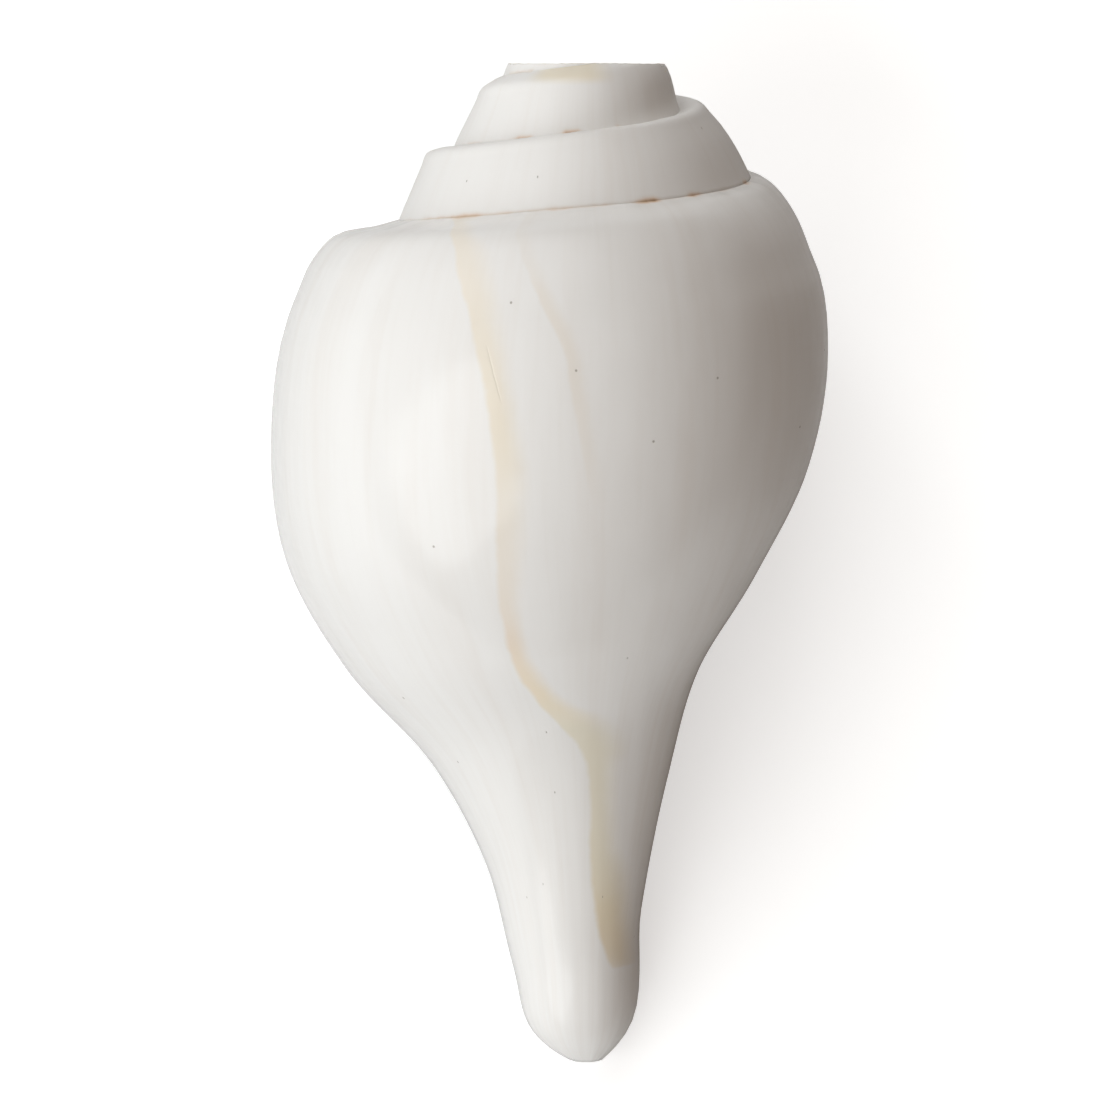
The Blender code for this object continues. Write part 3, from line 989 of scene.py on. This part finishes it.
def outside_material():
    """Polished white shell with growth streaks, dirt in the sutures and a few pits."""
    nodes = Outside()
    pit = nodes.pit()
    colour = nodes.with_dirt(nodes.with_cream(nodes.with_streaks(nodes.white())))
    colour = nodes.mix(nodes.math("MULTIPLY", pit, PIT_SHARE), colour, PIT_SHADE)
    nodes.put(nodes.shader.inputs["Base Color"], colour)
    nodes.put(nodes.shader.inputs["Roughness"], nodes.roughness())
    nodes.put(nodes.shader.inputs["Normal"], nodes.bump(pit))
    return nodes.material


def inside_material():
    """The aperture and chamber: glossy cream that deepens to a flesh tint further in."""
    nodes = Nodes("shell_porcelain")
    deep = nodes.ramp(nodes.attribute("turn"), 0.0, DEEP_BY_TURN)
    colour = nodes.mix(deep, MOUTH_CREAM, DEEP_FLESH)
    cloud = nodes.noise(nodes.upright(), scale=40.0, roughness=0.55)
    colour = nodes.mix(nodes.math("MULTIPLY", cloud, CLOUD_SHARE), colour, CLOUD_FLESH)
    nodes.put(nodes.shader.inputs["Base Color"], colour)
    nodes.shader.inputs["Roughness"].default_value = MOUTH_ROUGHNESS
    return nodes.material


def sawn_material():
    """The sawn face and the hole's wall: chalky, with the layers of the shell showing."""
    nodes = Nodes("shell_sawn")
    layers = nodes.noise(nodes.upright(), scale=420.0, detail=4.0, roughness=0.65)
    nodes.put(nodes.shader.inputs["Base Color"], nodes.mix(layers, CHALK, CHALK_LAYER))
    nodes.shader.inputs["Roughness"].default_value = CHALK_ROUGHNESS
    bump = nodes.add("ShaderNodeBump", Strength=CHALK_BUMP, Distance=CHALK_DEPTH * MM, Height=layers)
    nodes.put(nodes.shader.inputs["Normal"], bump)
    return nodes.material


def floor_material():
    """A matt floor: white where the camera sees it, and grey for the light that it throws back."""
    nodes = Nodes("floor_white")
    camera_ray = nodes.add("ShaderNodeLightPath", output="Is Camera Ray")
    glossy_ray = nodes.add("ShaderNodeLightPath", output="Is Glossy Ray")
    seen = nodes.math("MAXIMUM", camera_ray, glossy_ray)
    nodes.put(nodes.shader.inputs["Base Color"], nodes.mix(seen, FLOOR_THROWN, FLOOR_SEEN))
    nodes.shader.inputs["Roughness"].default_value = 1.0
    nodes.shader.inputs["Specular IOR Level"].default_value = 0.0
    nodes.shader.inputs["Emission Color"].default_value = GLOW_COLOUR
    nodes.put(nodes.shader.inputs["Emission Strength"], nodes.math("MULTIPLY", camera_ray, FLOOR_GLOW))
    return nodes.material


# The studio, in metres and degrees.

FLOOR_HALF = 3.0

# The camera looks down on the shell's back, at the middle of its length.
MIDDLE = -0.075
CAMERA_ELEVATION = 8.5
CAMERA_DISTANCE = 0.9
CAMERA_SENSOR = 36.0
CAMERA_LENS = 196.36
CAMERA_SHIFT = (-0.03273, 0.01091)
CAMERA_CLIP_START = 0.01

# Soft lamps that light the shell: a name, a direction about the upright shell, a size and a power.
SOFT_LAMPS = (
    ("key", -38.0, -22.0, 1.4, 1.0, 10.3),
    ("left", -88.0, 0.0, 0.8, 0.8, 2.6),
    ("top", -20.0, 60.0, 0.8, 0.8, 5.45),
    ("side", -60.0, 42.0, 0.8, 0.8, 3.85),
    ("low", -20.0, -60.0, 0.8, 0.8, 4.05),
)
LAMP_COLOUR = (0.938, 0.981, 1.0)
LAMP_DISTANCE = 1.2
# One more is seen only in the gloss.
SHINE_DIRECTION = (-43.0, -15.0)
SHINE_SIZE = (0.98, 0.95)
SHINE_POWER = 3.7
# Round them is a dim, warm surround, which the camera sees as a white backdrop.
SURROUND_COLOUR = (1.0, 0.68, 0.46, 1.0)
SURROUND_STRENGTH = 0.14
BACKDROP_COLOUR = (1.0, 1.0, 1.0, 1.0)


def studio_world():
    """The surround, and the backdrop that the camera sees in its place."""
    world = bpy.data.worlds.new("studio")
    world.use_nodes = True
    tree = world.node_tree
    surround = tree.nodes["Background"]
    surround.inputs["Color"].default_value = SURROUND_COLOUR
    surround.inputs["Strength"].default_value = SURROUND_STRENGTH
    backdrop = tree.nodes.new("ShaderNodeBackground")
    backdrop.inputs["Color"].default_value = BACKDROP_COLOUR
    light_path = tree.nodes.new("ShaderNodeLightPath")
    either = tree.nodes.new("ShaderNodeMixShader")
    tree.links.new(light_path.outputs["Is Camera Ray"], either.inputs[0])
    tree.links.new(surround.outputs[0], either.inputs[1])
    tree.links.new(backdrop.outputs[0], either.inputs[2])
    tree.links.new(either.outputs[0], tree.nodes["World Output"].inputs["Surface"])
    return world


def shell_direction(azimuth, elevation):
    """A direction about the upright shell: azimuth from its back, to the right, and height."""
    azimuth, elevation = math.radians(azimuth), math.radians(elevation)
    upright = Vector((
        math.sin(azimuth) * math.cos(elevation),
        -math.cos(azimuth) * math.cos(elevation),
        math.sin(elevation),
    ))
    return (REST.to_3x3() @ upright).normalized()


def area_light(name, aim, direction, width, height, power):
    """A rectangular lamp that looks at aim from a direction."""
    lamp = bpy.data.lights.new(name, "AREA")
    lamp.shape = "RECTANGLE"
    lamp.size = width
    lamp.size_y = height
    lamp.energy = power
    lamp.color = LAMP_COLOUR
    holder = bpy.data.objects.new(name, lamp)
    bpy.context.scene.collection.objects.link(holder)
    holder.location = aim + direction * LAMP_DISTANCE
    holder.rotation_euler = (-direction).to_track_quat("-Z", "Y").to_euler()
    return holder


def place_lamps(aim):
    """The soft lamps, which leave no image in the gloss, and the one lamp that leaves only that."""
    for name, azimuth, elevation, width, height, power in SOFT_LAMPS:
        lamp = area_light(name, aim, shell_direction(azimuth, elevation), width, height, power)
        lamp.visible_glossy = False
    shine = area_light("shine", aim, shell_direction(*SHINE_DIRECTION), *SHINE_SIZE, SHINE_POWER)
    shine.visible_diffuse = False


def place_camera(aim):
    """The camera, with the shell's apex at the top of its picture."""
    camera = bpy.data.objects.new("camera", bpy.data.cameras.new("camera"))
    bpy.context.scene.collection.objects.link(camera)
    bpy.context.scene.camera = camera
    back = shell_direction(0.0, CAMERA_ELEVATION)
    up = REST.to_3x3() @ Vector((0.0, 0.0, 1.0))
    right = up.cross(back).normalized()
    upward = back.cross(right).normalized()
    turned = Matrix((right, upward, back)).transposed().to_4x4()
    camera.matrix_world = Matrix.Translation(aim + back * CAMERA_DISTANCE) @ turned
    camera.data.sensor_width = CAMERA_SENSOR
    camera.data.lens = CAMERA_LENS
    camera.data.shift_x, camera.data.shift_y = CAMERA_SHIFT
    camera.data.clip_start = CAMERA_CLIP_START


def add_shell():
    """Add the shell, cut and laid down, and return the move that laid it down."""
    low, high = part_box("shell")
    shell = bpy.data.objects.new("shell_visual", shell_mesh())
    bpy.context.scene.collection.objects.link(shell)
    for material in (outside_material(), inside_material(), sawn_material()):
        shell.data.materials.append(material)
    tools = [
        cutter("saw_cut", saw_block(), SAWN, shell),
        cutter("blow_hole_cut", blow_hole_plug(), SAWN, shell),
    ]
    shell.data = finished_mesh(shell, tools)
    laid = lay_in_box(shell.data, low, high)
    shell.data.shade_smooth()
    shell.data.set_sharp_from_angle(angle=SHARP_FROM)
    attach(shell, "root")
    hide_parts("shell")
    return laid


def add_floor():
    """A floor under the shell, for the picture only."""
    mesh = bpy.data.meshes.new("floor")
    half = FLOOR_HALF
    corners = [(-half, -half, 0.0), (half, -half, 0.0), (half, half, 0.0), (-half, half, 0.0)]
    mesh.from_pydata(corners, [], [(0, 1, 2, 3)])
    floor = bpy.data.objects.new("floor", mesh)
    bpy.context.scene.collection.objects.link(floor)
    floor.data.materials.append(floor_material())


def main():
    laid = add_shell()
    add_floor()
    aim = laid @ Vector((0.0, 0.0, MIDDLE))
    place_camera(aim)
    place_lamps(aim)
    bpy.context.scene.world = studio_world()
    bpy.context.scene.view_settings.view_transform = "Standard"


main()
